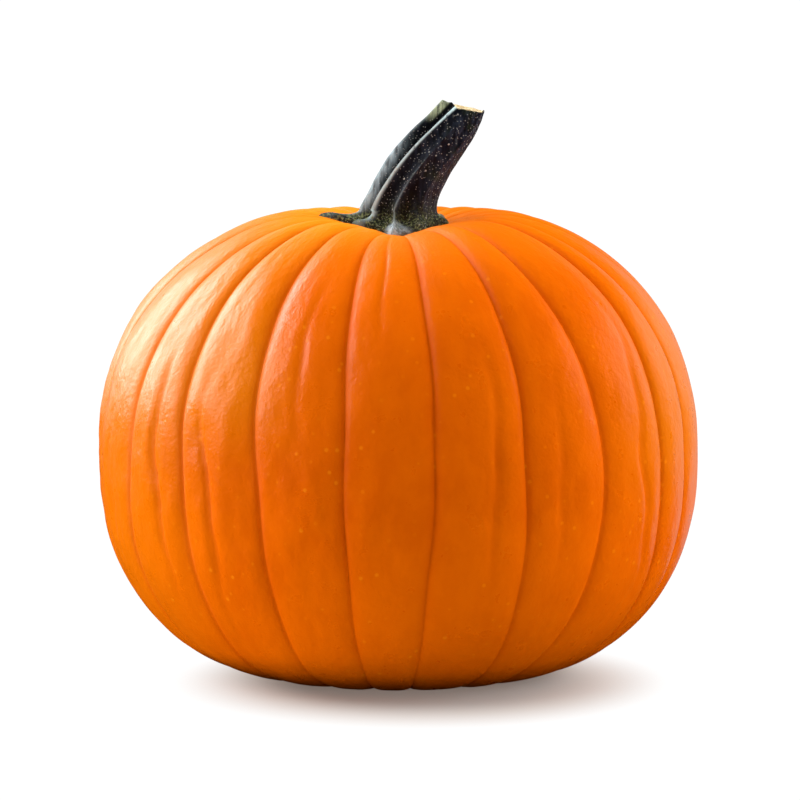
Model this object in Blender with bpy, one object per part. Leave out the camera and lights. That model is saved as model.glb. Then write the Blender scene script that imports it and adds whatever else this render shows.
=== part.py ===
"""A ribbed pumpkin with its cut stem, standing on its own flattened underside.

Metres, +Z up. The origin is on the surface that the fruit stands on, under the middle of the fruit.
-Y is the front. The stem leans towards +X. Azimuths are measured from the front towards +X.
"""
from itertools import accumulate
from math import cos, exp, hypot, pi, radians, remainder, sin

import bpy

# Driving dimensions of the fruit
RADIUS = 0.130                          # axis to a rib's crest, at the widest level
CROWN_HEIGHT = 0.845 * RADIUS           # widest level to the top, if the crown had no dish
BASE_HEIGHT = 0.830 * RADIUS            # widest level to the bottom, if the base had no hollow
CROWN_SQUARENESS = 2.27                 # 2 is a plain ellipse, more is boxier
BASE_SQUARENESS = 2.34
DISH_DEPTH = 0.120 * RADIUS             # shallow dish that the stem grows out of
DISH_SPREAD = 0.250 * RADIUS
RIM_RADIUS = 0.330 * RADIUS             # the crown's highest ring, round the dish
FRONT_DIP = 0.040 * RADIUS              # how far the rim is lower at the front
FRONT_DIP_WIDTH = 24.0                  # degrees to each side of the front
BACK_DIP = 0.013 * RADIUS
BACK_DIP_WIDTH = 45.0
HOLLOW_DEPTH = 0.185 * RADIUS           # hollow at the blossom end, underneath
HOLLOW_SPREAD = 0.395 * RADIUS
FOOT_FLAT = 0.0014                      # how far each rib's foot is flattened by the fruit's weight

# Ribs, from the groove nearest the left edge, through the front and on around the back
FIRST_GROOVE = -81.5                    # azimuth at the widest level, degrees
RIB_WIDTHS = [18.5, 18.0, 17.5, 17.5, 16.5, 18.5, 17.0, 18.5, 11.5, 16.5, 17.5,
              15.0, 16.5, 17.0, 14.5, 16.0, 15.5, 16.5, 15.0, 16.0, 15.5, 15.0]
# Degrees that each groove turns towards +X at the crown and back at the base, and at both of them
GROOVE_LEANS = [0.0, 1.0, -2.5, -3.5, -2.0, 1.0, 0.0, 1.0, -0.5, 0.0, 1.5,
                2.0, 1.0, -1.0, -2.0, -1.5, 0.5, 2.0, 1.5, -0.5, -2.0, -1.0]
GROOVE_BOWS = [0.0, 0.5, 0.0, 0.5, -0.5, -1.0, -1.5, -4.0, 0.5, 0.0, 0.5,
               -0.5, 1.0, 0.0, -1.0, 0.5, 1.0, -0.5, 0.0, 1.0, -1.0, 0.5]
GROOVE_DEPTH = 0.018 * RADIUS
GROOVE_FADE = 0.430 * RADIUS            # grooves run out towards the axis within about this radius
RIB_ROUNDNESS = 3.0
RIB_EDGE = 0.70
LOW_SHALLOWING = 0.50                   # how much shallower the grooves are low down
SHALLOW_FROM = radians(88)              # turn from the crown where that starts
SHALLOW_SPAN = radians(50)

# Mesh of the fruit
STEPS_PER_RIB = 5
RINGS = 30                              # levels between the crown's centre and the blossom end
RING_CROWDING = 0.5                     # how much closer the levels are near the axis

# Stem
GAP = 0.0007                            # between the stem's underside and the fruit
STEM_NECK = 0.810 * RADIUS              # widest level to where the flared base ends
STEM_TOP = 1.145 * RADIUS               # widest level to the middle of the cut top
STEM_LEAN = 0.213 * RADIUS              # how far the cut top stands to +X of the neck
STEM_CURVE = 1.35                       # 1 is a straight lean, more is a curve
STEM_HALF_WIDTH = 0.118 * RADIUS        # along X
STEM_HALF_DEPTH = 0.102 * RADIUS        # along Y
STEM_TAPER = 0.35                       # share of its width that it loses near the cut
STEM_TAPER_START = 0.45                 # as a share of its height
CUT_TILT = 0.20                         # fall of the cut top towards +X
FINGER_THICKNESS = 0.0010
FINGER_CURVE = 2.2
VALLEY_DEPTH = 0.14                     # of the stem's grooves, as a share of its radius

# Ridges of the stem: azimuth in degrees, and how far the finger at its foot reaches from the axis
RIDGES = [(-90, 0.265), (-46, 0.215), (-7, 0.195), (33, 0.190),
          (80, 0.170), (125, 0.190), (170, 0.200), (225, 0.215)]
VALLEY_REACH = 0.135                    # reach of the base between two fingers
STEPS_PER_RIDGE = 5
UNDERSIDE_RINGS = 5
FLARE_RINGS = 4
SHAFT_RINGS = 8


def clear_scene():
    for thing in list(bpy.data.objects):
        bpy.data.objects.remove(thing, do_unlink=True)


# Fruit

def profile_point(turn):
    """Radius and height of the ribs' crests; turn goes from 0 at the crown to pi at the blossom end."""
    across = abs(sin(turn))
    along = cos(turn)
    if along > 0:
        power, tall, hollow, spread = CROWN_SQUARENESS, CROWN_HEIGHT, -DISH_DEPTH, DISH_SPREAD
    else:
        power, tall, hollow, spread = BASE_SQUARENESS, BASE_HEIGHT, HOLLOW_DEPTH, HOLLOW_SPREAD
    size = (across ** power + abs(along) ** power) ** (-1 / power)
    radius = RADIUS * across * size
    height = tall * along * size + hollow * exp(-(radius / spread) ** 2)
    return radius, height


def profile_normal(turn):
    step = 0.001
    radius_before, height_before = profile_point(turn - step)
    radius_after, height_after = profile_point(turn + step)
    along_radius = radius_after - radius_before
    along_height = height_after - height_before
    length = hypot(along_radius, along_height)
    return -along_height / length, along_radius / length


def crown_dip(radius, azimuth):
    """How far the crown is lower than its profile: it sags a little at the front and the back."""
    share = (radius / RIM_RADIUS) ** 2
    from_front = remainder(azimuth, 2 * pi) / radians(FRONT_DIP_WIDTH)
    from_back = remainder(azimuth - pi, 2 * pi) / radians(BACK_DIP_WIDTH)
    sag = FRONT_DIP * exp(-from_front ** 2) + BACK_DIP * exp(-from_back ** 2)
    return sag * share * exp(1 - share)


def foot_level():
    """Height of the flattened feet, below the widest level."""
    lowest = min(profile_point(pi * (0.5 + 0.5 * step / 400))[1] for step in range(400))
    return lowest + FOOT_FLAT


def groove_lines():
    """Azimuth at the widest level, lean and bow of each groove, with the first one again at the end."""
    azimuths = accumulate(RIB_WIDTHS, initial=FIRST_GROOVE)
    leans = GROOVE_LEANS + GROOVE_LEANS[:1]
    bows = GROOVE_BOWS + GROOVE_BOWS[:1]
    return [[radians(angle) for angle in groove] for groove in zip(azimuths, leans, bows)]


def groove_azimuth(groove, turn):
    """Azimuth of a groove at one level, in radians."""
    middle, lean, bow = groove
    return middle + lean * cos(turn) + bow * (1 + cos(2 * turn))


def fruit_point(turn, left_groove, right_groove, across, floor):
    """A point of a rib; across goes from -1 at its left groove to 1 at its right groove."""
    radius, height = profile_point(turn)
    out, up = profile_normal(turn)
    bulge = (1 - abs(across) ** RIB_ROUNDNESS) ** RIB_EDGE
    low = min(max((turn - SHALLOW_FROM) / SHALLOW_SPAN, 0), 1)
    fade = (1 - exp(-(radius / GROOVE_FADE) ** 2)) * (1 - LOW_SHALLOWING * low)
    sink = GROOVE_DEPTH * (1 - bulge) * fade
    left = groove_azimuth(left_groove, turn)
    right = groove_azimuth(right_groove, turn)
    azimuth = left + (right - left) * (across + 1) / 2
    if turn < pi / 2:
        height -= crown_dip(radius, azimuth)
    radius -= out * sink
    height = max(height - up * sink, floor)
    return radius * sin(azimuth), -radius * cos(azimuth), height - floor


def ring_turns():
    """Levels of the fruit's mesh, closer together near the axis."""
    shares = [step / RINGS for step in range(1, RINGS)]
    return [pi * share - RING_CROWDING * sin(2 * pi * share) / 2 for share in shares]


def fruit_mesh():
    floor = foot_level()
    grooves = groove_lines()
    points = [(0, 0, profile_point(0)[1] - floor)]
    for turn in ring_turns():
        for left, right in zip(grooves, grooves[1:]):
            for step in range(STEPS_PER_RIB):
                points.append(fruit_point(turn, left, right, 2 * step / STEPS_PER_RIB - 1, floor))
    points.append((0, 0, profile_point(pi)[1] - floor))
    return points, capped_tube_faces(len(RIB_WIDTHS) * STEPS_PER_RIB, RINGS - 1)


# Stem

def seat_height(radius, azimuth):
    """Height of the crown's dish, above the surface that the fruit stands on."""
    rings = [profile_point(turn) for turn in [0] + ring_turns()]
    for (inner, inner_height), (outer, outer_height) in zip(rings, rings[1:]):
        if radius <= outer:
            low = inner_height - crown_dip(inner, azimuth)
            high = outer_height - crown_dip(outer, azimuth)
            return low + (high - low) * (radius - inner) / (outer - inner) - foot_level()
    raise ValueError("the stem reaches past the crown")


def ridge_pattern(step):
    """Azimuth, finger reach and share of valley for one of the lines that run up the stem."""
    ridge, part = divmod(step, STEPS_PER_RIDGE)
    azimuth, reach = RIDGES[ridge]
    next_azimuth, next_reach = RIDGES[(ridge + 1) % len(RIDGES)]
    share = part / STEPS_PER_RIDGE
    turned = (next_azimuth - azimuth) % 360
    valley = sin(pi * share)
    reach = reach + (next_reach - reach) * share
    reach = (reach + (VALLEY_REACH - reach) * valley ** 0.5) * RADIUS
    return radians(azimuth + turned * share), reach, valley


def shaft_point(step, rise):
    """A point of the stem's side; rise goes from 0 at the neck to 1 at the cut top."""
    azimuth, _, valley = ridge_pattern(step)
    narrowing = max(0.0, (rise - STEM_TAPER_START) / (1 - STEM_TAPER_START))
    size = (1 - STEM_TAPER * narrowing ** 2) * (1 - VALLEY_DEPTH * valley)
    x = STEM_HALF_WIDTH * size * sin(azimuth)
    y = -STEM_HALF_DEPTH * size * cos(azimuth)
    height = STEM_NECK + (STEM_TOP - STEM_NECK) * rise - CUT_TILT * rise ** 2 * x
    return x + STEM_LEAN * rise ** STEM_CURVE, y, height - foot_level()


def underside_point(step, share):
    azimuth, reach, _ = ridge_pattern(step)
    radius = reach * share
    return radius * sin(azimuth), -radius * cos(azimuth), seat_height(radius, azimuth) + GAP


def flare_point(step, share):
    """A point between the finger's tip, share 0, and the neck, share 1."""
    azimuth, reach, _ = ridge_pattern(step)
    neck_x, neck_y, neck_height = shaft_point(step, 0)
    neck = hypot(neck_x, neck_y)
    radius = neck + (reach - neck) * (1 - share) ** FINGER_CURVE
    edge = seat_height(radius, azimuth) + GAP + FINGER_THICKNESS
    height = edge + (neck_height - edge) * share ** 2
    return radius * sin(azimuth), -radius * cos(azimuth), height


def stem_mesh():
    lines = range(len(RIDGES) * STEPS_PER_RIDGE)
    top_x, top_height = STEM_LEAN, STEM_TOP - foot_level()
    rings = [[shaft_point(step, 1 - ring / SHAFT_RINGS) for step in lines]
             for ring in range(SHAFT_RINGS)]
    rings += [[flare_point(step, 1 - ring / FLARE_RINGS) for step in lines]
              for ring in range(FLARE_RINGS + 1)]
    rings += [[underside_point(step, 1 - ring / UNDERSIDE_RINGS) for step in lines]
              for ring in range(UNDERSIDE_RINGS)]
    points = [(top_x, 0, top_height)]
    points += [point for ring in rings for point in ring]
    points.append((0, 0, seat_height(0, 0) + GAP))
    return points, capped_tube_faces(len(lines), len(rings))


# Meshes, materials and objects

def capped_tube_faces(around, rings):
    """Faces of a closed tube that ends in a point above and a point below, wound to face outwards."""
    faces = []
    last = 1 + around * rings
    for step in range(around):
        after = (step + 1) % around
        faces.append((0, 1 + step, 1 + after))
        for ring in range(rings - 1):
            upper = 1 + ring * around
            lower = upper + around
            faces.append((upper + step, lower + step, lower + after, upper + after))
        bottom = 1 + (rings - 1) * around
        faces.append((bottom + step, last, bottom + after))
    return faces


def material(name, colour, roughness):
    made = bpy.data.materials.new(name)
    made.use_nodes = True
    shader = made.node_tree.nodes["Principled BSDF"]
    shader.inputs["Base Color"].default_value = (*colour, 1)
    shader.inputs["Roughness"].default_value = roughness
    shader.inputs["Metallic"].default_value = 0
    made.diffuse_color = (*colour, 1)
    return made


def add_object(name, shape, finish):
    points, faces = shape
    mesh = bpy.data.meshes.new(name)
    mesh.from_pydata(points, [], faces)
    mesh.validate()
    mesh.shade_smooth()
    mesh.materials.append(finish)
    made = bpy.data.objects.new(name, mesh)
    bpy.context.scene.collection.objects.link(made)
    return made


def main():
    clear_scene()
    add_object("fruit", fruit_mesh(), material("orange_rind", (0.78, 0.20, 0.01), 0.38))
    add_object("stem", stem_mesh(), material("dark_stem", (0.035, 0.035, 0.04), 0.6))


main()
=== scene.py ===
"""The look of a ribbed pumpkin with its cut stem, on a white studio floor."""
from math import cos, pi, radians, sin

import bpy
import numpy as np
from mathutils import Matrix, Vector, noise


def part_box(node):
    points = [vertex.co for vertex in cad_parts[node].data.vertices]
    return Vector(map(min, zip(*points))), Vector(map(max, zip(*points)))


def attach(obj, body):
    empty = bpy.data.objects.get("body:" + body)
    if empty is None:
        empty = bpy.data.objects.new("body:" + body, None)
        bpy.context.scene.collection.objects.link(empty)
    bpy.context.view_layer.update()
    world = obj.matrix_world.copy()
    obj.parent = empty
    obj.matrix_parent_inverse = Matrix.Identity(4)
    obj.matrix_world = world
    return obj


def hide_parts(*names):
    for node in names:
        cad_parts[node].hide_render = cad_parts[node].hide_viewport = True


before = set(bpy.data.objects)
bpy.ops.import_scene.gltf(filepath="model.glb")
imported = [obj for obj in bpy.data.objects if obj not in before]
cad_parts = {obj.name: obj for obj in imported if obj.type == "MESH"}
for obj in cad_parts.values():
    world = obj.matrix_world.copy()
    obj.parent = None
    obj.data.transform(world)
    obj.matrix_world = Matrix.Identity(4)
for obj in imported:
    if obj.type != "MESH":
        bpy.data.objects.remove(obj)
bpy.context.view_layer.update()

# The driving size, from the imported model: axis to a rib's crest at the widest level
fruit_low, fruit_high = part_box("fruit")
RADIUS = (fruit_high[1] - fruit_low[1]) / 2

# The fruit's outline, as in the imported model
CROWN_HEIGHT = 0.845 * RADIUS
BASE_HEIGHT = 0.830 * RADIUS
CROWN_SQUARENESS = 2.27
BASE_SQUARENESS = 2.34
DISH_DEPTH = 0.120 * RADIUS
DISH_SPREAD = 0.250 * RADIUS
RIM_RADIUS = 0.330 * RADIUS
FRONT_DIP = 0.040 * RADIUS
FRONT_DIP_WIDTH = radians(24)
BACK_DIP = 0.013 * RADIUS
BACK_DIP_WIDTH = radians(45)
HOLLOW_DEPTH = 0.185 * RADIUS
HOLLOW_SPREAD = 0.395 * RADIUS
FOOT_FLAT = 0.0014                      # how far each rib's foot is flattened

# Its ribs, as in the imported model: widths, leans and bows in degrees, from the left round the front
FIRST_GROOVE = -81.5
RIB_WIDTHS = [18.5, 18.0, 17.5, 17.5, 16.5, 18.5, 17.0, 18.5, 11.5, 16.5, 17.5,
              15.0, 16.5, 17.0, 14.5, 16.0, 15.5, 16.5, 15.0, 16.0, 15.5, 15.0]
GROOVE_LEANS = [0.0, 1.0, -2.5, -3.5, -2.0, 1.0, 0.0, 1.0, -0.5, 0.0, 1.5,
                2.0, 1.0, -1.0, -2.0, -1.5, 0.5, 2.0, 1.5, -0.5, -2.0, -1.0]
GROOVE_BOWS = [0.0, 0.5, 0.0, 0.5, -0.5, -1.0, -1.5, -4.0, 0.5, 0.0, 0.5,
               -0.5, 1.0, 0.0, -1.0, 0.5, 1.0, -0.5, 0.0, 1.0, -1.0, 0.5]
GROOVE_DEPTH = 0.018 * RADIUS
GROOVE_FADE = 0.430 * RADIUS
RIB_ROUNDNESS = 3.0
RIB_EDGE = 0.70
LOW_SHALLOWING = 0.50                   # how much shallower the grooves are low down
SHALLOW_FROM = radians(88)              # turn from the crown where that starts
SHALLOW_SPAN = radians(50)

# Detail that only the skin has
CROWN_ROUNDNESS = 2.0                   # of the ribs near the crown, in place of RIB_ROUNDNESS
CROWN_DEEPENING = 0.30                  # how much deeper the grooves are there
RIB_STEPS = [30] * 10 + [16] * 12       # more across the front ribs, which carry more creases
STEP_CROWDING = 0.4                     # towards the grooves
SKIN_RINGS = 190
RING_CROWDING = 0.5                     # towards the crown and the blossom end
CREASE_DEPTH = 0.0006
CREASE_WIDTH = 0.0014
WANDER = radians(0.35)                  # how far a groove's slow waves stray to each side
WANDER_SEED = 4
FOLD_HEIGHT = 0.0015                    # long folds that run down the ribs
FOLD_WIDTH = 0.014
FOLD_LENGTH = 0.034
FOLD_LEVEL = radians(92)                # where they are strongest, as a turn from the crown
FOLD_SPREAD = radians(26)
FOLD_AZIMUTH = radians(-65)             # the side where they are strongest
SCAR_RADIUS = 0.0065                    # woody scar at the blossom end, in the hollow underneath
SCAR_HEIGHT = 0.0012

# Shallow second creases: rib, place across it from -1 to 1, first and last level in degrees
# from the crown, depth in millimetres and waviness
SECOND_CREASES = [
    (0, 0.10, 60, 120, 1.0, 0.10),
    (1, 0.22, 58, 126, 2.2, 0.10),
    (2, -0.28, 64, 130, 2.1, 0.08),
    (3, 0.05, 40, 82, 1.1, 0.08),
    (4, -0.15, 10, 60, 1.6, 0.05),
    (5, 0.30, 54, 124, 1.6, 0.06),
    (6, -0.16, 62, 118, 1.1, 0.05),
    (7, 0.30, 46, 126, 1.9, 0.14),
    (10, -0.10, 50, 120, 1.2, 0.10),
    (12, 0.20, 30, 90, 1.1, 0.08),
    (14, 0.00, 60, 135, 1.3, 0.12),
    (16, -0.25, 40, 110, 1.0, 0.08),
    (18, 0.15, 70, 140, 1.4, 0.10),
    (20, -0.10, 30, 100, 1.1, 0.10),
]
SECOND_CREASE_SHADE = 200.0              # how much painted shade darkens them, for each metre of depth
SECOND_CREASE_WIDTH = 0.09              # as a share of half a rib

# The stem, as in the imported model; each ridge has its azimuth in degrees from the front and its
# finger's reach as a share of the fruit's radius
STEM_NECK = 0.810 * RADIUS
STEM_TOP = 1.145 * RADIUS
STEM_LEAN = 0.213 * RADIUS
STEM_CURVE = 1.35
STEM_HALF_WIDTH = 0.118 * RADIUS
STEM_HALF_DEPTH = 0.102 * RADIUS
STEM_TAPER = 0.35
STEM_TAPER_START = 0.45
CUT_TILT = 0.20
RIDGES = [(-90, 0.265), (-46, 0.215), (-7, 0.195), (33, 0.190),
          (80, 0.170), (125, 0.190), (170, 0.200), (225, 0.215)]
VALLEY_REACH = 0.135

# Detail that only the stem's surface has: for each ridge, the depth of the valley after it as a share of
# the stem's radius and how much of it is left at the top, then how pale its painted highlight line is,
# likewise
VALLEY_DEPTHS = [0.44, 0.30, 0.24, 0.06, 0.14, 0.24, 0.22, 0.26]
VALLEY_TOPS = [0.9, 0.3, 0.1, 0.5, 0.8, 0.8, 0.8, 0.8]
RIDGE_PALENESS = [0.30, 1.0, 0.30, 0.05, 0.20, 0.40, 0.30, 0.40]
PALENESS_TOPS = [0.8, 1.0, 0.0, 0.5, 0.8, 0.8, 0.8, 0.8]
VALLEY_ROUNDNESS = 0.8                  # 1 is a sine, less is flatter at the bottom
FINGER_POINTEDNESS = 0.5                # less is a narrower finger
LINE_SHARPNESS = 4                      # more is a thinner line of painted highlight
STEM_TWIST = radians(26)
LEFT = -pi / 2                          # azimuth of the leftmost line
LEFT_SPREAD = radians(7)                # of the painted rim highlight along it
NECK_SWELL = 0.10                       # widening of the shaft just above the flared base
NECK_FADE = 0.12                        # as a share of the shaft's height
KNOBBLE_HEIGHT = 0.0006                 # uneven swelling along the stem
KNOBBLE_SIZE = (0.006, 0.006, 0.018)
KNOBBLE_START = 1 / 6                   # share of the shaft's height where it is full
STEPS_PER_RIDGE = 24
SHAFT_RINGS = 90
FLARE_RINGS = 30
CUT_RINGS = 10
LIP_HEIGHT = 0.0022                     # the cut's rim stands up on the left and at the far tip
LIP_WIDTH = radians(34)
TIP_HEIGHT = 0.0012
TIP_WIDTH = LIP_WIDTH / 2
TIP_AZIMUTH = radians(50)
RIM_UNEVENNESS = 0.0007
RIM_WAVES = 4                           # more is more of them round the rim
RIM_FADE = 10                           # power of the height by which the rim's relief sets in
UNDERSIDE_RINGS = 4
UNDERSIDE_SINK = 0.001                  # below the crown's dish, so that no gap shows
SKIRT_THICKNESS = 0.0026
SKIRT_CURVE = 1.7
SKIRT_RISE = 1.35

# The rind's colours, in linear red, green and blue
ORANGE = (0.67, 0.106, 0.0003)
DEEP_ORANGE = (0.61, 0.090, 0.0002)
MOTTLE_ORANGE = (0.78, 0.140, 0.0008)
CROWN_ORANGE = (0.82, 0.180, 0.002)
# Painted light: the next four are yellower tones where the lights on the left and right fall strongest, and
# a painted highlight tone on the upper left
SHOULDER_PAINTED_LIGHT = (0.84, 0.250, 0.005)
FAR_LEFT_PAINTED_LIGHT = (0.62, 0.132, 0.0006)
UPPER_LEFT_PAINTED_HIGHLIGHT = (0.68, 0.160, 0.0012)
RIGHT_PAINTED_LIGHT = (0.64, 0.142, 0.0010)
DOT_ORANGE = (0.82, 0.22, 0.006)
# Painted shade in the grooves
GROOVE_PAINTED_SHADE = (0.42, 0.035, 0.0003)
DARK_CORK = (0.16, 0.08, 0.03)
PALE_CORK = (0.36, 0.22, 0.10)

# Its patterns, in metres
PATCH_SIZE = 0.05
MOTTLE_SIZE = 0.007
DOT_SPACING = 0.0066
DOT_SIZE = 0.0012
DOT_CLUSTER = 0.03
CORK_GRAIN = 0.0020
WAX_SIZE = 0.010
LUMP_SIZE = 0.0065
LUMP_HEIGHT = 0.00038
WRINKLE_SIZE = 0.0022
WRINKLE_HEIGHT = 0.00021
PORE_SIZE = 0.0011
PORE_HEIGHT = 0.00008

# The stem's colours
BLACK_STRAND = (0.003, 0.004, 0.007)
GREY_STRAND = (0.018, 0.022, 0.034)
MOSS = (0.018, 0.024, 0.010)
SCUFF = (0.22, 0.23, 0.22)
# Painted shade in the valleys
VALLEY_PAINTED_SHADE = (0.0010, 0.0012, 0.0020)
# Painted highlight along the ridges
RIDGE_PAINTED_HIGHLIGHT = (0.58, 0.74, 0.76)
SPECK_PALE = (0.50, 0.47, 0.42)
# Painted rim highlight along the leftmost line
PAINTED_RIM_HIGHLIGHT = (0.44, 0.55, 0.60)
LIP_GREEN = (0.56, 0.62, 0.38)
FOOT_YELLOW = (0.22, 0.24, 0.10)
BLOOM_GREY = (0.50, 0.60, 0.66)
DARK_WOOD = (0.36, 0.25, 0.12)
PALE_WOOD = (0.66, 0.54, 0.33)

# Its patterns, in metres
FIBRE_STRETCH = (1, 1, 0.15)            # they run up the stem
STRAND_SIZE = 0.0018
MOSS_SIZE = 0.009
SCUFF_SIZE = 0.0011
# size of the breaks in the painted ridge highlight
HIGHLIGHT_BREAK_SIZE = 0.0016
SMALL_SPECK_SPACING = 0.0012
SMALL_SPECK_SIZE = 0.00032
LARGE_SPECK_SPACING = 0.0040
LARGE_SPECK_SIZE = 0.00060
SPECK_HEIGHT = 0.0002
# size of the blotches in the painted rim highlight and on the lip
BLOTCH_SIZE = 0.0020
FOOT_PATCH_SIZE = 0.0010
BLOOM_PLACE = (0, -0.155 * RADIUS, STEM_NECK - 0.060 * RADIUS)      # from the fruit's widest level
BLOOM_REACH = 0.0080
BLOOM_CORE = 0.0030
BLOOM_GRAIN = 0.0028
WOOD_GRAIN = 0.0014
STRAND_RELIEF_SIZE = 0.0014
STRAND_RELIEF_HEIGHT = 0.0007
ROUGH_SIZE = 0.0020
ROUGH_HEIGHT = 0.0004
STEM_SHINE = 0.22                       # specular level

# View and floor
VIEW_DISTANCE = 20 * RADIUS
VIEW_ELEVATION = radians(8.5)
VIEW_WIDTH = 2.668 * RADIUS             # what the picture spans at the fruit
AIM_HEIGHT = 0.170 * RADIUS             # above the fruit's widest level
AIM_SIDE = 0.005 * RADIUS
SENSOR = 36.0
FLOOR_SIZE = 40.0
FLOOR_COLOUR = (0.41, 0.50, 0.52)
SHADOW_MIDDLE = (0.07 * RADIUS, -0.38 * RADIUS, 0)
SHADOW_INNER = 0.36 * RADIUS            # the floor takes its full shadow within this
SHADOW_OUTER = 0.88 * RADIUS            # and is plain white beyond this
# warm colour of the painted glow in the floor's shadow
SHADOW_TINT = (1.0, 0.76, 0.64)
SHADOW_GLOW = 0.16                      # share of its own glow that the floor keeps in full shadow
FLOOR_GLOW = 1.05
GROUND_SHADE_RADIUS = 0.88 * RADIUS
GROUND_SHADE_MIDDLE = (0.07 * RADIUS, 0, -0.001)

# Lights: name, direction from the fruit's middle, distance, width, height and brightness
PANELS = [
    ("left_window", (-0.88, -0.05, 0.48), 1.0, 0.7, 0.72, 2.4),
    ("left_back_window", (-0.76, 0.48, 0.44), 1.0, 0.7, 0.72, 4.8),
    ("back_left_panel", (-0.50, 0.80, 0.33), 1.0, 0.7, 0.8, 0.7),
    ("top_left_panel", (-0.62, 0.45, 0.65), 1.0, 0.6, 0.6, 1.1),
    ("right_panel", (0.92, 0.36, 0.32), 1.0, 0.7, 0.5, 0.60),
    ("right_back_panel", (0.60, 0.80, 0.05), 1.0, 0.7, 0.8, 0.45),
]
FILLS = [
    ("left_fill", (-0.8, -0.6, -0.1), 1.2, 0.9, 0.9, 2.8),
    ("front_fill", (0.15, -0.95, -0.10), 1.2, 0.9, 0.9, 1.28),
    ("right_front_fill", (0.8, -0.6, -0.15), 1.2, 0.9, 0.9, 2.7),
    ("right_fill", (0.95, 0.10, 0.20), 1.2, 0.9, 0.9, 6.9),
    ("top_fill", (-0.25, -0.2, 1.0), 1.2, 1.0, 1.0, 3.3),
    ("top_back_fill", (0.0, 0.5, 0.85), 1.2, 1.0, 1.0, 5.4),
    ("low_fill", (0.0, -0.8, -0.6), 1.2, 1.0, 1.0, 0.3),
    ("low_left_fill", (-0.85, 0.0, -0.5), 1.2, 1.0, 1.0, 4.4),
    ("back_fill", (0.1, 1.0, 0.0), 1.5, 1.2, 1.0, 1.6),
]


# Fruit

def profile(turns):
    """Radius and height of the ribs' crests; turns go from 0 at the crown to pi at the blossom end."""
    across = np.abs(np.sin(turns))
    along = np.cos(turns)
    crown = along > 0
    power = np.where(crown, CROWN_SQUARENESS, BASE_SQUARENESS)
    tall = np.where(crown, CROWN_HEIGHT, BASE_HEIGHT)
    hollow = np.where(crown, -DISH_DEPTH, HOLLOW_DEPTH)
    spread = np.where(crown, DISH_SPREAD, HOLLOW_SPREAD)
    size = (across ** power + np.abs(along) ** power) ** (-1 / power)
    radius = RADIUS * across * size
    return radius, tall * along * size + hollow * np.exp(-(radius / spread) ** 2)


def outward(turns):
    """The profile's outward direction, as its share along the radius and upwards."""
    step = 0.001
    before = np.array(profile(turns - step))
    after = np.array(profile(turns + step))
    along_radius, along_height = after - before
    length = np.hypot(along_radius, along_height)
    return -along_height / length, along_radius / length


FLOOR_LEVEL = profile(np.linspace(pi / 2, pi, 400, endpoint=False))[1].min() + FOOT_FLAT


def turned_from(azimuth, centre):
    """Angle from a centre azimuth, between -pi and pi."""
    return (azimuth - centre + pi) % (2 * pi) - pi


def crown_dip(radius, azimuth):
    """How far the crown's rim dips below the plain profile, at the front and at the back."""
    share = (radius / RIM_RADIUS) ** 2
    front = np.exp(-(turned_from(azimuth, 0) / FRONT_DIP_WIDTH) ** 2)
    back = np.exp(-(turned_from(azimuth, pi) / BACK_DIP_WIDTH) ** 2)
    return (FRONT_DIP * front + BACK_DIP * back) * share * np.exp(1 - share)


def ring_turns(rings):
    """Turns of the skin's levels, without the two end points."""
    shares = np.arange(1, rings) / rings
    return pi * shares - RING_CROWDING * np.sin(2 * pi * shares) / 2


def groove_azimuths(turns):
    """Azimuth of every groove at every level, one row for each level."""
    middles = np.radians(FIRST_GROOVE + np.concatenate([[0], np.cumsum(RIB_WIDTHS)]))
    leans = np.radians(GROOVE_LEANS + GROOVE_LEANS[:1])
    bows = np.radians(GROOVE_BOWS + GROOVE_BOWS[:1])
    phases = np.random.default_rng(WANDER_SEED).uniform(0, 2 * pi, (2, len(middles)))
    phases[:, -1] = phases[:, 0]
    level = turns[:, None]
    slow = np.sin(4 * level + phases[0])
    quick = 0.5 * np.sin(11 * level + phases[1])
    wander = WANDER * (slow + quick) * np.sin(level)
    return middles + leans * np.cos(level) + bows * (1 + np.cos(2 * level)) + wander


def fractal(points, octaves):
    """Smooth noise between about -1 and 1 at each point."""
    values = [noise.fractal(Vector(point), 1.0, 2.0, octaves) for point in points.reshape(-1, 3)]
    return np.array(values).reshape(points.shape[:-1])


def flow_points(azimuth, turns):
    """Coordinates that run round the fruit in x and y and down its ribs in z, in metres."""
    down = np.broadcast_to(turns[:, None] * RADIUS, azimuth.shape)
    return np.stack([RADIUS * np.sin(azimuth), -RADIUS * np.cos(azimuth), down], axis=-1)


def folds(flow, azimuth, turns):
    """Uneven swelling of the skin in folds down the ribs, stronger on the left and half way down."""
    stretched = flow / np.array([FOLD_WIDTH, FOLD_WIDTH, FOLD_LENGTH])
    left = 0.5 + 0.5 * np.cos(turned_from(azimuth, FOLD_AZIMUTH))
    middle = np.exp(-((turns - FOLD_LEVEL) / FOLD_SPREAD) ** 2)[:, None]
    return FOLD_HEIGHT * fractal(stretched, 3) * (0.3 + 0.7 * left ** 3) * (0.4 + 0.6 * middle)


def second_creases(across, ribs, turns):
    """Depth of the shallow creases within single ribs."""
    depth = np.zeros(across.shape)
    for rib, place, first, last, millimetres, wave in SECOND_CREASES:
        level = (turns - radians(first)) / radians(last - first)
        run = np.sin(pi * np.clip(level, 0, 1))
        middle = place + wave * (np.sin(7 * turns + rib) + 0.4 * np.sin(19 * turns + 2 * rib))
        away = np.abs(across - middle[:, None])
        crease = np.exp(-(away / SECOND_CREASE_WIDTH) ** 1.3)
        depth += (ribs == rib) * millimetres / 1000 * run[:, None] * crease
    return depth


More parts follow.
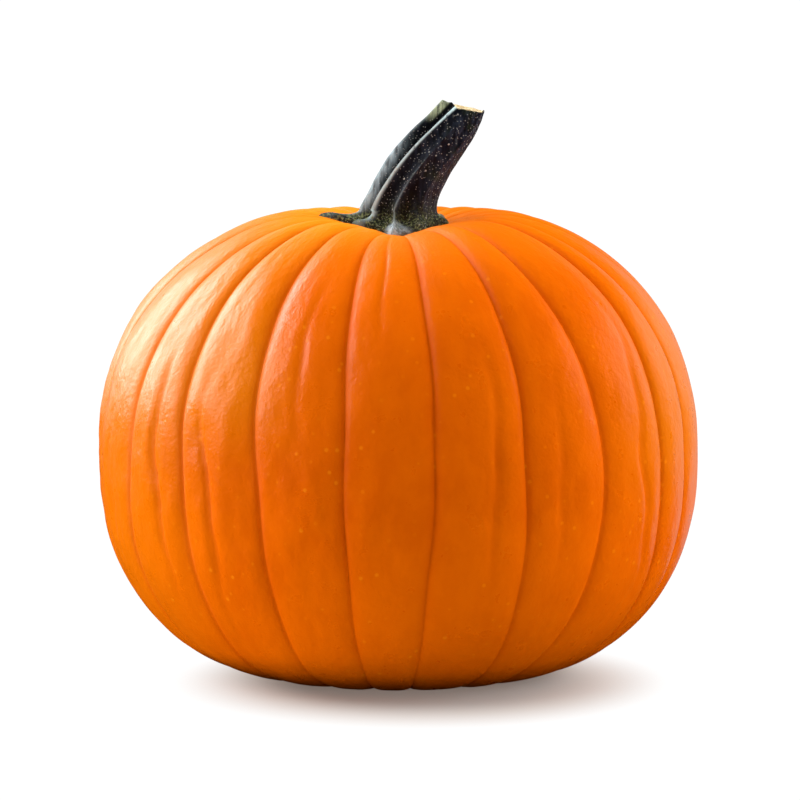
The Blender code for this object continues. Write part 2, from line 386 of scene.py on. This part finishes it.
def across_ribs(turns):
    """For each point of each level: its rib, its place across it from -1 to 1, its azimuth and half
    the rib's width as an angle."""
    edges = groove_azimuths(turns)
    ribs = np.repeat(np.arange(len(RIB_STEPS)), RIB_STEPS)
    even = np.concatenate([np.arange(steps) / steps * 2 - 1 for steps in RIB_STEPS])
    crowded = (1 - STEP_CROWDING) * even + STEP_CROWDING * np.sin(even * pi / 2)
    across = np.tile(crowded, (len(turns), 1))
    share = (across + 1) / 2
    azimuth = edges[:, ribs] * (1 - share) + edges[:, ribs + 1] * share
    half_width = (edges[:, ribs + 1] - edges[:, ribs]) / 2
    return ribs, across, azimuth, half_width


def rib_relief(turns, radius):
    """Depth of the skin below the plain profile, how creased it is, its azimuths and its flow."""
    ribs, across, azimuth, half_width = across_ribs(turns)
    low = np.clip((turns - SHALLOW_FROM) / SHALLOW_SPAN, 0, 1)[:, None]
    crown = np.clip((SHALLOW_FROM - turns) / SHALLOW_SPAN, 0, 1)[:, None]
    fade = (1 - np.exp(-(radius / GROOVE_FADE) ** 2)) * (1 - LOW_SHALLOWING * low)
    to_groove = (1 - np.abs(across)) * half_width * radius
    crease = np.exp(-to_groove / CREASE_WIDTH)
    roundness = RIB_ROUNDNESS + (CROWN_ROUNDNESS - RIB_ROUNDNESS) * crown
    bulge = (1 - np.abs(across) ** roundness) ** RIB_EDGE
    second = second_creases(across, ribs, turns)
    deep = GROOVE_DEPTH * (1 + CROWN_DEEPENING * crown)
    flow = flow_points(azimuth, turns)
    sink = (deep * (1 - bulge) + CREASE_DEPTH * crease + second) * fade
    sink = sink - folds(flow, azimuth, turns) * fade * bulge
    # The second creases count in the groove mark for their painted shade
    return sink, (crease + SECOND_CREASE_SHADE * second) * fade, azimuth, flow


def skin_grid():
    """Points of the skin level by level, with how creased it is at each and its flow coordinates."""
    turns = ring_turns(SKIN_RINGS)
    radius, height = (values[:, None] for values in profile(turns))
    out, up = (values[:, None] for values in outward(turns))
    sink, creased, azimuth, flow = rib_relief(turns, radius)
    dip = np.where(turns[:, None] < pi / 2, crown_dip(radius, azimuth), 0)
    radius = radius - out * sink
    scar = np.clip((SCAR_RADIUS / RADIUS - (pi - turns)) * RADIUS / SCAR_HEIGHT, 0, 1)[:, None]
    height = np.maximum(height - dip - up * sink - FLOOR_LEVEL - SCAR_HEIGHT * scar, 0)
    points = np.stack([radius * np.sin(azimuth), -radius * np.cos(azimuth), height], axis=-1)
    return points, creased, flow


def tube_faces(around, rings):
    """Faces of a tube closed by a point at each end: the first point, the rings, the last point."""
    step = np.arange(around)
    after = (step + 1) % around
    first = [(0, 1 + a, 1 + b) for a, b in zip(step, after)]
    side = []
    for ring in range(rings - 1):
        upper = 1 + ring * around
        lower = upper + around
        side += [(upper + a, lower + a, lower + b, upper + b) for a, b in zip(step, after)]
    bottom = 1 + (rings - 1) * around
    last = [(bottom + a, 1 + rings * around, bottom + b) for a, b in zip(step, after)]
    return first + side + last


def make_object(name, points, faces, material, **attributes):
    """An object whose mesh carries a number, or a vector, for each point under each attribute's name."""
    mesh = bpy.data.meshes.new(name)
    mesh.from_pydata(points.tolist(), [], faces)
    for key, values in attributes.items():
        values = np.asarray(values, dtype=np.float32)
        kind, field = ("FLOAT", "value") if values.ndim == 1 else ("FLOAT_VECTOR", "vector")
        mesh.attributes.new(key, kind, "POINT").data.foreach_set(field, values.reshape(-1))
    mesh.shade_smooth()
    mesh.materials.append(material)
    made = bpy.data.objects.new(name, mesh)
    bpy.context.scene.collection.objects.link(made)
    return made


def with_ends(first, values, last):
    """The values in one row, between those of the two end points."""
    return np.concatenate([[first], np.reshape(values, -1), [last]])


def add_skin():
    """The fruit's skin: its grid closed by a point at the crown and one at the blossom end."""
    grid, creased, flow = skin_grid()
    rings, around = creased.shape
    top, bottom = profile(np.array([0, pi]))[1] - FLOOR_LEVEL - np.array([0, SCAR_HEIGHT])
    points = np.concatenate([[[0, 0, top]], grid.reshape(-1, 3), [[0, 0, bottom]]])
    flow = np.concatenate([[[0, 0, 0]], flow.reshape(-1, 3), [[0, 0, pi * RADIUS]]])
    return make_object("pumpkin_skin", points, tube_faces(around, rings), rind(),
                       groove=with_ends(0, creased, 0), flow=flow)


# Stem

def seat_height(radius, azimuth):
    """Height of the crown's dish."""
    turns = ring_turns(SKIN_RINGS)[:SKIN_RINGS // 3]
    radii, heights = profile(turns)
    return np.interp(radius, radii, heights) - crown_dip(radius, azimuth) - FLOOR_LEVEL


def nearer_ridge(values, first_half):
    """Each line's value, of the ridge before it in the first half of the way to the next ridge."""
    before = np.repeat(values, STEPS_PER_RIDGE)
    after = np.repeat(np.roll(values, -1), STEPS_PER_RIDGE)
    return np.where(first_half, before, after)


def ridge_lines():
    """For each line that runs up the stem: azimuth, reach at the foot, then paleness of the painted ridge
    highlight and depth of valley, each at the foot and at the top."""
    azimuths = np.array([azimuth for azimuth, _ in RIDGES], dtype=float)
    reaches = np.array([reach for _, reach in RIDGES])
    turned = (np.roll(azimuths, -1) - azimuths) % 360
    share = np.arange(STEPS_PER_RIDGE) / STEPS_PER_RIDGE
    valley = np.tile(np.sin(pi * share), len(RIDGES))
    azimuth = np.radians((azimuths[:, None] + turned[:, None] * share).reshape(-1))
    between = reaches[:, None] * (1 - share) + np.roll(reaches, -1)[:, None] * share
    inward = valley ** FINGER_POINTEDNESS
    reach = between.reshape(-1) * (1 - inward) + VALLEY_REACH * inward
    depth = np.repeat(VALLEY_DEPTHS, STEPS_PER_RIDGE) * valley ** VALLEY_ROUNDNESS
    top_depth = depth * np.repeat(VALLEY_TOPS, STEPS_PER_RIDGE)
    first_half = np.tile(share, len(RIDGES)) < 0.5
    pale = (1 - valley) ** LINE_SHARPNESS * nearer_ridge(RIDGE_PALENESS, first_half)
    return azimuth, reach * RADIUS, pale, pale * nearer_ridge(PALENESS_TOPS, first_half), depth, top_depth


def shaft_ring(rise, azimuth, depth, top_depth):
    """Points round the shaft; rise goes from 0 at the neck to 1 at the cut."""
    narrowing = max(0.0, (rise - STEM_TAPER_START) / (1 - STEM_TAPER_START))
    size = (1 - STEM_TAPER * narrowing ** 2) * (1 - depth * (1 - rise) - top_depth * rise)
    size = size * (1 + NECK_SWELL * np.exp(-rise / NECK_FADE))
    turned = azimuth + STEM_TWIST * rise ** 2
    x = STEM_HALF_WIDTH * size * np.sin(turned)
    y = -STEM_HALF_DEPTH * size * np.cos(turned)
    z = STEM_NECK + (STEM_TOP - STEM_NECK) * rise - CUT_TILT * rise ** 2 * x - FLOOR_LEVEL
    lip = LIP_HEIGHT * np.exp(-(turned_from(azimuth, LEFT) / LIP_WIDTH) ** 2)
    tip = TIP_HEIGHT * np.exp(-(turned_from(azimuth, TIP_AZIMUTH) / TIP_WIDTH) ** 2)
    edge = np.stack([np.sin(azimuth), np.cos(azimuth), 0 * azimuth], axis=-1)
    uneven = RIM_UNEVENNESS * fractal(RIM_WAVES * edge, 2)
    z = z + (lip + tip + uneven) * rise ** RIM_FADE
    points = np.stack([x, y, z], axis=-1)
    swelling = KNOBBLE_HEIGHT * fractal(points / np.array(KNOBBLE_SIZE), 3) * min(1.0, rise / KNOBBLE_START)
    outwards = np.stack([np.sin(turned), -np.cos(turned), 0 * turned], axis=-1)
    return points + outwards * swelling[:, None] + [STEM_LEAN * rise ** STEM_CURVE, 0, 0]


def flare_ring(share, azimuth, reach, neck):
    """Points round the flared base; share goes from 0 at the fingers' edge to 1 at the neck."""
    neck_radius = np.hypot(neck[:, 0], neck[:, 1])
    radius = neck_radius + (reach - neck_radius) * (1 - share) ** SKIRT_CURVE
    edge = seat_height(radius, azimuth) + SKIRT_THICKNESS * min(1.0, 5 * share) ** 0.5
    z = edge + (neck[:, 2] - edge) * share ** SKIRT_RISE
    return np.stack([radius * np.sin(azimuth), -radius * np.cos(azimuth), z], axis=-1)


def underside_ring(share, azimuth, reach):
    """Points round the hidden underside; share goes from 0 at its middle to 1 at the edge."""
    radius = reach * share
    z = seat_height(radius, azimuth) - UNDERSIDE_SINK
    return np.stack([radius * np.sin(azimuth), -radius * np.cos(azimuth), z], axis=-1)


def stem_rings(azimuth, reach, depth, top_depth):
    """The middle of the cut, then the rings from there down to the underside and each one's rise."""
    top = shaft_ring(1.0, azimuth, depth, top_depth)
    neck = shaft_ring(0.0, azimuth, depth, top_depth)
    middle = top.mean(axis=0)
    flat = top.copy()
    flat[:, 2] = middle[2] - CUT_TILT * (top[:, 0] - middle[0])
    shaft = [1 - ring / SHAFT_RINGS for ring in range(SHAFT_RINGS)]
    flare = [ring / FLARE_RINGS for ring in range(FLARE_RINGS + 1)]
    rings = [middle + (flat - middle) * (ring + 1) / (CUT_RINGS + 1) for ring in range(CUT_RINGS)]
    rings += [shaft_ring(rise, azimuth, depth, top_depth) for rise in shaft]
    rings += [flare_ring(1 - down, azimuth, reach, neck) for down in flare]
    rings += [underside_ring(1 - ring / UNDERSIDE_RINGS, azimuth, reach) for ring in range(UNDERSIDE_RINGS)]
    rise = [1.0] * CUT_RINGS + shaft + [-down for down in flare] + [-1.0] * UNDERSIDE_RINGS
    return middle, rings, np.array(rise)


def add_stem():
    """The stem: a tube from the middle of the cut, down the shaft and the flare, to the underside."""
    azimuth, reach, pale, top_pale, depth, top_depth = ridge_lines()
    middle, rings, rise = stem_rings(azimuth, reach, depth, top_depth)
    bottom = [0, 0, seat_height(0, 0) - UNDERSIDE_SINK]
    points = np.concatenate([[middle], np.concatenate(rings), [bottom]])
    upwards = np.clip(rise, 0, 1)[:, None]
    crest = pale * (1 - upwards) + top_pale * upwards
    hollow = (depth * (1 - upwards) + top_depth * upwards) / max(VALLEY_DEPTHS)
    is_cut = np.arange(len(rings)) < CUT_RINGS
    left = np.exp(-(turned_from(azimuth, LEFT) / LEFT_SPREAD) ** 2)
    return make_object("pumpkin_stem", points, tube_faces(len(azimuth), len(rings)), stem_wood(),
                       crest=with_ends(0, crest, 0),
                       hollow=with_ends(0, hollow, 0),
                       cut=with_ends(1, np.repeat(is_cut, len(azimuth)), 0),
                       rise=with_ends(1, np.repeat(rise, len(azimuth)), -1),
                       left=with_ends(0, np.tile(left, len(rings)), 0))


# Materials

def new_material(name):
    made = bpy.data.materials.new(name)
    made.use_nodes = True
    return made, made.node_tree, made.node_tree.nodes["Principled BSDF"]


def add_node(tree, kind, inputs=(), **settings):
    """A node with its settings; its inputs, by name or place, take numbers, vectors or outputs."""
    made = tree.nodes.new(kind)
    for setting, value in settings.items():
        setattr(made, setting, value)
    for place, value in dict(inputs).items():
        if isinstance(value, bpy.types.NodeSocket):
            tree.links.new(value, made.inputs[place])
        else:
            made.inputs[place].default_value = value
    return made


def attribute(tree, name, output):
    return add_node(tree, "ShaderNodeAttribute", attribute_name=name).outputs[output]


def position(tree):
    return add_node(tree, "ShaderNodeTexCoord").outputs["Object"]


def stretched(tree, vector, scales):
    return add_node(tree, "ShaderNodeVectorMath", {0: vector, 1: scales}, operation="MULTIPLY").outputs[0]


def noise_map(tree, vector, size, detail=3.0):
    """Noise between 0 and 1 whose lumps are about this size in metres."""
    settings = {"Vector": vector, "Scale": 1 / size, "Detail": detail, "Roughness": 0.55}
    return add_node(tree, "ShaderNodeTexNoise", settings).outputs[0]


def smooth(tree, value, low, high, bottom=0.0, top=1.0):
    """Eases from bottom to top as the value goes from low to high."""
    settings = {"Value": value, "From Min": low, "From Max": high, "To Min": bottom, "To Max": top}
    return add_node(tree, "ShaderNodeMapRange", settings, interpolation_type="SMOOTHSTEP").outputs[0]


def speckles(tree, vector, spacing, size):
    """1 within each of many scattered dots, 0 elsewhere."""
    cells = add_node(tree, "ShaderNodeTexVoronoi", {"Vector": vector, "Scale": 1 / spacing})
    return smooth(tree, cells.outputs["Distance"], size / spacing, 0.4 * size / spacing)


def maths(tree, operation, first, second):
    return add_node(tree, "ShaderNodeMath", {0: first, 1: second}, operation=operation).outputs[0]


def product(tree, first, second):
    return maths(tree, "MULTIPLY", first, second)


def component(tree, vector, axis):
    return add_node(tree, "ShaderNodeSeparateXYZ", {0: vector}).outputs[axis]


def distance_from(tree, vector, middle):
    away = add_node(tree, "ShaderNodeVectorMath", {0: vector, 1: middle}, operation="DISTANCE")
    return away.outputs["Value"]


def mix(tree, factor, first, second):
    """Blends two colours, each given as three numbers or as another node's output."""
    first, second = (value if isinstance(value, bpy.types.NodeSocket) else (*value, 1)
                     for value in (first, second))
    settings = {0: factor, 6: first, 7: second}
    return add_node(tree, "ShaderNodeMix", settings, data_type="RGBA").outputs[2]


def bump(tree, height, depth, below=None):
    """Relief of this depth in metres, on top of the relief below."""
    settings = {"Height": height, "Distance": depth, "Strength": 1.0}
    if below is not None:
        settings["Normal"] = below
    return add_node(tree, "ShaderNodeBump", settings).outputs[0]


def orange_and_painted_light(tree, flow, place):
    """Patchy orange, yellower near the crown, with painted light: yellower on the left shoulder and towards
    both sides where the lights fall strongest, and a painted highlight tone on the upper left.

    The way down the skin is measured from the crown and the way across from the axis to +X."""
    down = component(tree, flow, "Z")
    across = component(tree, place, "X")
    patches = smooth(tree, noise_map(tree, flow, PATCH_SIZE), 0.35, 0.65)
    colour = mix(tree, patches, ORANGE, DEEP_ORANGE)
    mottle = noise_map(tree, stretched(tree, flow, (1, 1, 0.5)), MOTTLE_SIZE, 4)
    colour = mix(tree, smooth(tree, mottle, 0.35, 0.65, 0, 0.22), colour, MOTTLE_ORANGE)
    near_crown = smooth(tree, down, 0.95 * RADIUS, 0.25 * RADIUS, 0, 0.6)
    colour = mix(tree, near_crown, colour, CROWN_ORANGE)
    # Painted light: yellower on the left shoulder, where the lights on the left fall strongest
    upper = smooth(tree, down, 1.25 * RADIUS, 0.75 * RADIUS)
    slanting = maths(tree, "ADD", across, product(tree, down, 1.1))
    painted_shoulder_light = product(tree, upper, smooth(tree, slanting, 0.52 * RADIUS, 0.05 * RADIUS, 0, 0.75))
    colour = mix(tree, painted_shoulder_light, colour, SHOULDER_PAINTED_LIGHT)
    # Painted light: yellower on the far left, under the lights on the left
    painted_far_left_light = smooth(tree, across, -0.40 * RADIUS, -1.05 * RADIUS)
    colour = mix(tree, painted_far_left_light, colour, FAR_LEFT_PAINTED_LIGHT)
    # Painted highlight tone on the upper left
    left = smooth(tree, across, -0.25 * RADIUS, -0.55 * RADIUS)
    painted_upper_left_highlight = product(tree, left, smooth(tree, down, 1.55 * RADIUS, 1.10 * RADIUS))
    colour = mix(tree, painted_upper_left_highlight, colour, UPPER_LEFT_PAINTED_HIGHLIGHT)
    # Painted light: yellower on the right, under the lights on the right
    right = smooth(tree, across, 0.62 * RADIUS, 0.95 * RADIUS)
    painted_right_light = product(tree, right, smooth(tree, down, 1.90 * RADIUS, 1.35 * RADIUS))
    return mix(tree, painted_right_light, colour, RIGHT_PAINTED_LIGHT)


def marked_rind(tree, colour, place, groove):
    """The colour with clusters of pale dots, and painted shade that makes it darker and redder in the
    grooves.
    """
    clusters = smooth(tree, noise_map(tree, place, DOT_CLUSTER), 0.42, 0.58, 0.1, 0.5)
    dots = product(tree, speckles(tree, place, DOT_SPACING, DOT_SIZE), clusters)
    colour = mix(tree, dots, colour, DOT_ORANGE)
    # Painted shade: darker and redder in the grooves and the second creases
    return mix(tree, product(tree, groove, 0.32), colour, GROOVE_PAINTED_SHADE)


def cork(tree, place):
    grain = smooth(tree, noise_map(tree, place, CORK_GRAIN, 4), 0.4, 0.6)
    return mix(tree, grain, DARK_CORK, PALE_CORK)


def rind_roughness(tree, flow, groove, scar):
    """Waxy, and more matt near the crown, in the grooves and on the scar."""
    down = component(tree, flow, "Z")
    waxy = smooth(tree, noise_map(tree, flow, WAX_SIZE, 3), 0.3, 0.7, 0.27, 0.35)
    matt_crown = smooth(tree, down, 0.90 * RADIUS, 0.35 * RADIUS, 0, 0.16)
    matt_groove = smooth(tree, groove, 0.02, 0.4, 0, 0.3)
    matt = maths(tree, "ADD", matt_crown, maths(tree, "MAXIMUM", matt_groove, product(tree, scar, 0.4)))
    return maths(tree, "ADD", waxy, matt)


def rind_relief(tree, flow, place):
    """Lumps, finer wrinkles on them and pores, all too fine for the mesh."""
    lumps = bump(tree, noise_map(tree, stretched(tree, flow, (1, 1, 0.75)), LUMP_SIZE, 2), LUMP_HEIGHT)
    wrinkle_map = noise_map(tree, stretched(tree, flow, (1, 1, 0.8)), WRINKLE_SIZE, 2)
    wrinkles = bump(tree, wrinkle_map, WRINKLE_HEIGHT, lumps)
    return bump(tree, noise_map(tree, place, PORE_SIZE, 1), PORE_HEIGHT, wrinkles)


def rind():
    """Waxy orange rind with a corky scar at the blossom end."""
    made, tree, shader = new_material("orange_rind")
    flow = attribute(tree, "flow", "Vector")
    groove = attribute(tree, "groove", "Fac")
    place = position(tree)
    down = component(tree, flow, "Z")
    scar = smooth(tree, down, pi * RADIUS - 1.1 * SCAR_RADIUS, pi * RADIUS - 0.7 * SCAR_RADIUS)
    colour = marked_rind(tree, orange_and_painted_light(tree, flow, place), place, groove)
    colour = mix(tree, scar, colour, cork(tree, place))
    tree.links.new(colour, shader.inputs["Base Color"])
    tree.links.new(rind_roughness(tree, flow, groove, scar), shader.inputs["Roughness"])
    tree.links.new(rind_relief(tree, flow, place), shader.inputs["Normal"])
    return made


def charcoal_bark(tree, place, fibres, strands, shady):
    """Dark strands with a little moss and scuffs, and painted shade that makes them blackest in the
    valleys.
    """
    colour = mix(tree, smooth(tree, strands, 0.38, 0.68), BLACK_STRAND, GREY_STRAND)
    moss = smooth(tree, noise_map(tree, place, MOSS_SIZE), 0.50, 0.75, 0, 0.6)
    colour = mix(tree, moss, colour, MOSS)
    scuffs = smooth(tree, noise_map(tree, fibres, SCUFF_SIZE, 3), 0.60, 0.74, 0, 0.22)
    colour = mix(tree, scuffs, colour, SCUFF)
    # Painted shade: blackest in the valleys
    return mix(tree, product(tree, shady, 0.85), colour, VALLEY_PAINTED_SHADE)


def painted_ridge_highlights(tree, colour, fibres, rise):
    """The colour with a painted highlight as a pale line along each ridge, broken up by noise and fainter
    on the fingers.
    """
    highlight_breaks = smooth(tree, noise_map(tree, fibres, HIGHLIGHT_BREAK_SIZE, 3), 0.28, 0.46, 0.35, 1)
    line = smooth(tree, attribute(tree, "crest", "Fac"), 0.06, 0.60)
    line = product(tree, line, smooth(tree, rise, -0.75, -0.05, 0.25, 1))
    # Painted highlight along each ridge crest
    return mix(tree, product(tree, line, highlight_breaks), colour, RIDGE_PAINTED_HIGHLIGHT)


def stem_specks(tree, place):
    small = speckles(tree, place, SMALL_SPECK_SPACING, SMALL_SPECK_SIZE)
    large = speckles(tree, place, LARGE_SPECK_SPACING, LARGE_SPECK_SIZE)
    return maths(tree, "MAXIMUM", product(tree, small, 0.5), product(tree, large, 0.8))


def painted_rim_highlight_and_lip(tree, colour, fibres, rise):
    """The colour with a painted rim highlight in grey along the leftmost line and pale green on the raised
    lip above it.
    """
    left = attribute(tree, "left", "Fac")
    blotches = smooth(tree, noise_map(tree, fibres, BLOTCH_SIZE, 3), 0.34, 0.60, 0.2, 0.9)
    shaft = product(tree, smooth(tree, rise, 0.75, 0.50), smooth(tree, rise, -0.25, 0.05))
    # Painted rim highlight along the leftmost line of the shaft
    colour = mix(tree, product(tree, product(tree, left, shaft), blotches), colour, PAINTED_RIM_HIGHLIGHT)
    lip = product(tree, smooth(tree, left, 0.0, 0.2), smooth(tree, rise, 0.82, 0.95))
    return mix(tree, product(tree, lip, blotches), colour, LIP_GREEN)


def mossy_foot(tree, colour, place, rise):
    """The colour with yellow patches towards the fingers and a grey bloom on the front one."""
    foot = smooth(tree, rise, 0.22, -0.45)
    patches = smooth(tree, noise_map(tree, place, FOOT_PATCH_SIZE, 5), 0.46, 0.68, 0.05, 0.9)
    colour = mix(tree, product(tree, foot, patches), colour, FOOT_YELLOW)
    away = distance_from(tree, place, Vector(BLOOM_PLACE) - Vector((0, 0, FLOOR_LEVEL)))
    grain = smooth(tree, noise_map(tree, place, BLOOM_GRAIN, 3), 0.34, 0.54, 0.3, 0.9)
    bloom = product(tree, smooth(tree, away, BLOOM_REACH, BLOOM_CORE), grain)
    return mix(tree, bloom, colour, BLOOM_GREY)


def cut_wood(tree, place):
    grain = smooth(tree, noise_map(tree, place, WOOD_GRAIN, 4), 0.40, 0.62)
    return mix(tree, grain, DARK_WOOD, PALE_WOOD)


def stem_wood():
    """Charcoal bark with painted highlights along its ridges, painted shade in its valleys, a painted rim
    highlight on the left, pale specks, mossy yellow at the foot and tan where it was cut.
    """
    made, tree, shader = new_material("dark_stem")
    place = position(tree)
    rise = attribute(tree, "rise", "Fac")
    fibres = stretched(tree, place, FIBRE_STRETCH)
    strands = noise_map(tree, fibres, STRAND_SIZE, 4)
    shady = smooth(tree, attribute(tree, "hollow", "Fac"), 0.15, 0.60)
    specks = stem_specks(tree, place)
    colour = charcoal_bark(tree, place, fibres, strands, shady)
    colour = painted_ridge_highlights(tree, colour, fibres, rise)
    colour = mix(tree, specks, colour, SPECK_PALE)
    colour = painted_rim_highlight_and_lip(tree, colour, fibres, rise)
    colour = mossy_foot(tree, colour, place, rise)
    colour = mix(tree, attribute(tree, "cut", "Fac"), colour, cut_wood(tree, place))
    tree.links.new(colour, shader.inputs["Base Color"])

    shader.inputs["Specular IOR Level"].default_value = STEM_SHINE
    matt = smooth(tree, strands, 0.3, 0.7, 0.58, 0.76)
    tree.links.new(maths(tree, "ADD", matt, product(tree, shady, 0.22)), shader.inputs["Roughness"])
    grain = bump(tree, noise_map(tree, fibres, STRAND_RELIEF_SIZE, 4), STRAND_RELIEF_HEIGHT)
    rough = bump(tree, noise_map(tree, place, ROUGH_SIZE, 3), ROUGH_HEIGHT, grain)
    tree.links.new(bump(tree, specks, SPECK_HEIGHT, rough), shader.inputs["Normal"])
    return made


def floor_white():
    """White by its own glow away from the object; near it the glow gives way to real shadow, warmed and
    lifted by a painted glow.
    """
    made, tree, shader = new_material("white_floor")
    shader.inputs["Base Color"].default_value = (*FLOOR_COLOUR, 1)
    shader.inputs["Roughness"].default_value = 0.9
    shader.inputs["Specular IOR Level"].default_value = 0.0
    away = distance_from(tree, position(tree), SHADOW_MIDDLE)
    tint = mix(tree, smooth(tree, away, SHADOW_INNER, SHADOW_OUTER), SHADOW_TINT, (1, 1, 1))
    glow = add_node(tree, "ShaderNodeEmission", {"Color": tint, "Strength": FLOOR_GLOW}).outputs[0]
    share = smooth(tree, away, SHADOW_INNER, SHADOW_OUTER, SHADOW_GLOW, 1)
    blend = add_node(tree, "ShaderNodeMixShader", {0: share, 1: shader.outputs[0], 2: glow})
    tree.links.new(blend.outputs[0], tree.nodes["Material Output"].inputs["Surface"])
    return made


# Stage

def add_floor():
    """It only catches shadow: it throws no light or shade on the object."""
    bpy.ops.mesh.primitive_plane_add(size=FLOOR_SIZE)
    floor = bpy.context.object
    floor.name = "floor"
    floor.data.materials.append(floor_white())
    floor.visible_diffuse = False
    floor.visible_glossy = False
    floor.visible_shadow = False


def add_ground_shade():
    """An unseen disc just under the floor, so that the lights that stand low miss the fruit's feet."""
    bpy.ops.mesh.primitive_circle_add(vertices=96, radius=GROUND_SHADE_RADIUS, fill_type="NGON",
                                      location=GROUND_SHADE_MIDDLE)
    shade = bpy.context.object
    shade.name = "ground_shade"
    shade.visible_camera = False
    shade.visible_diffuse = False
    shade.visible_glossy = False


def add_camera():
    """A long lens in front of the object, a little above it."""
    centre = Vector((0, 0, -FLOOR_LEVEL))
    offset = Vector((0, -cos(VIEW_ELEVATION), sin(VIEW_ELEVATION))) * VIEW_DISTANCE
    aim = centre + Vector((AIM_SIDE, 0, AIM_HEIGHT))
    data = bpy.data.cameras.new("camera")
    data.sensor_width = SENSOR
    data.lens = SENSOR * VIEW_DISTANCE / VIEW_WIDTH
    camera = bpy.data.objects.new("camera", data)
    camera.location = centre + offset
    camera.rotation_euler = (aim - camera.location).to_track_quat("-Z", "Y").to_euler()
    bpy.context.scene.collection.objects.link(camera)
    bpy.context.scene.camera = camera


def add_light(name, direction, distance, width, height, brightness, shows_in_gloss=True):
    """A soft rectangular light that faces the fruit's middle; its brightness is that of its surface."""
    middle = Vector((0, 0, -FLOOR_LEVEL))
    data = bpy.data.lights.new(name, "AREA")
    data.shape = "RECTANGLE"
    data.size = width
    data.size_y = height
    data.energy = brightness * pi * width * height
    light = bpy.data.objects.new(name, data)
    light.location = middle + Vector(direction).normalized() * distance
    light.rotation_euler = (middle - light.location).to_track_quat("-Z", "Y").to_euler()
    light.visible_glossy = shows_in_gloss
    data.cycles.use_multiple_importance_sampling = shows_in_gloss
    bpy.context.scene.collection.objects.link(light)


def add_lights():
    """The panels show in the skin's gloss; the fills only brighten it."""
    for panel in PANELS:
        add_light(*panel)
    for fill in FILLS:
        add_light(*fill, shows_in_gloss=False)


def add_world():
    """White to the eye, dark to the fruit: only the lights shine on it."""
    world = bpy.data.worlds.new("white_studio")
    world.use_nodes = True
    tree = world.node_tree
    seen = add_node(tree, "ShaderNodeLightPath").outputs["Is Camera Ray"]
    tree.links.new(seen, tree.nodes["Background"].inputs["Strength"])
    tree.nodes["Background"].inputs["Color"].default_value = (1, 1, 1, 1)
    bpy.context.scene.world = world


add_camera()
add_lights()
add_world()
bpy.context.scene.view_settings.view_transform = "Standard"
add_floor()
add_ground_shade()
skin = add_skin()
stem = add_stem()
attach(skin, "root")
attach(stem, "root")
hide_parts("fruit")
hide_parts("stem")
